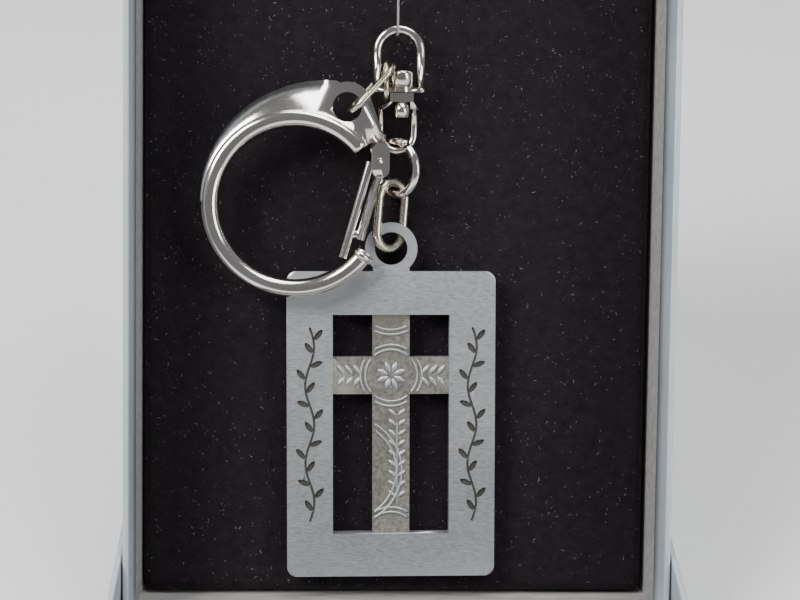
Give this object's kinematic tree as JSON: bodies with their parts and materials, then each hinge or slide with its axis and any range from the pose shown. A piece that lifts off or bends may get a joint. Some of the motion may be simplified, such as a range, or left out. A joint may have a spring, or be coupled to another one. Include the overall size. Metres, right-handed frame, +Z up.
{
  "type": "key ring display box",
  "caption": "Open two-piece gift box whose base leans back in its lid, with a key ring on a wire hook against a flocked pad.",
  "frame": {"origin": "middle of the flat face that the lid rests on", "axes": "+X to the right as the pad is seen, +Y away from the viewer, +Z up"},
  "size_m": [0.0914, 0.1406, 0.1316],
  "materials": {
    "box_board": "grey recycled board, cut edges hidden",
    "corner_tape": "brown gummed paper tape",
    "box_paper": "pale silver blue paper with a faint pearl sheen",
    "pad_card": "grey card",
    "pad_foam": "black open-cell foam",
    "pad_flock": "black flocked pile",
    "hook_wire": "dull grey wire",
    "nickel": "polished nickel plate, slightly warm",
    "link_nickel": "nickel plate with a yellow cast",
    "pewter": "satin pewter with dark antique fill"
  },
  "bodies": {
    "lid": {"lid_board": "box_board", "lid_stays": "corner_tape", "lid_wrap": "box_paper"},
    "base": {"base_board": "box_board", "base_stays": "corner_tape", "base_wrap": "box_paper"},
    "pad": {"pad_card": "pad_card", "pad_foam": "pad_foam", "pad_flock": "pad_flock", "hook_wire": "hook_wire"},
    "shackle": {"shackle": "nickel"},
    "rivet": {"swivel_rivet": "nickel"},
    "loop": {"swivel_loop": "nickel"},
    "small_link": {"small_link": "nickel"},
    "long_link": {"long_link": "nickel"},
    "snap_ring": {"snap_ring": "nickel", "gate_pin": "nickel"},
    "gate": {"gate": "nickel"},
    "jump_ring": {"jump_ring": "nickel"},
    "twisted_link": {"twisted_link": "link_nickel"},
    "pendant": {"pendant": "pewter"}
  },
  "joints": [
    {"name": "base_lift", "type": "slide", "parent": "lid", "child": "base", "axis": [0, 0.515, 0.8572], "range_m": [0, 0.03]},
    {"name": "pad_lift", "type": "slide", "parent": "base", "child": "pad", "axis": [0, -0.8572, 0.515], "range_m": [0, 0.026]},
    {"name": "shackle_tip", "type": "hinge", "parent": "pad", "child": "shackle", "pos_m": [-0.0005, 0.01333, 0.09109], "axis": [-1, 0, 0], "range_deg": [0, 60]},
    {"name": "rivet_spin", "type": "hinge", "parent": "shackle", "child": "rivet", "pos_m": [0, 0.00818, 0.08252], "axis": [0, 0.515, 0.8572], "continuous": true},
    {"name": "loop_turn", "type": "hinge", "parent": "shackle", "child": "loop", "pos_m": [0, 0.00753, 0.08145], "axis": [0, 0.515, 0.8572], "range_deg": [-2.5, 1]},
    {"name": "small_link_rock", "type": "hinge", "parent": "shackle", "child": "small_link", "pos_m": [-0.00263, 0.00818, 0.08252], "axis": [1, 0, 0], "range_deg": [-3, 3]},
    {"name": "long_link_swing", "type": "hinge", "parent": "shackle", "child": "long_link", "pos_m": [-0.00245, 0.00923, 0.08534], "axis": [0, 0.515, 0.8572], "range_deg": [0, 6]},
    {"name": "snap_ring_swing", "type": "hinge", "parent": "long_link", "child": "snap_ring", "pos_m": [-0.009, 0.00506, 0.08083], "axis": [0, 0.8572, -0.515], "range_deg": [0, 30]},
    {"name": "gate_open", "type": "hinge", "parent": "snap_ring", "child": "gate", "pos_m": [-0.00346, 0.00055, 0.07332], "axis": [0, 0.8572, -0.515], "range_deg": [0, 24], "stiffness_Nm_per_rad": 0.004, "springref_deg": -17.19},
    {"name": "jump_ring_swing", "type": "hinge", "parent": "shackle", "child": "jump_ring", "pos_m": [-0.0007, 0.00333, 0.07446], "axis": [0, -0.8572, 0.515], "range_deg": [0, 5]},
    {"name": "twisted_link_swing", "type": "hinge", "parent": "jump_ring", "child": "twisted_link", "pos_m": [-0.00117, 0.00115, 0.06743], "axis": [0, -0.8572, 0.515], "range_deg": [0, 4]},
    {"name": "pendant_swing", "type": "hinge", "parent": "twisted_link", "child": "pendant", "pos_m": [-0.00134, -0.00348, 0.05972], "axis": [0, -0.8572, 0.515], "range_deg": [-3, 5]}
  ]
}
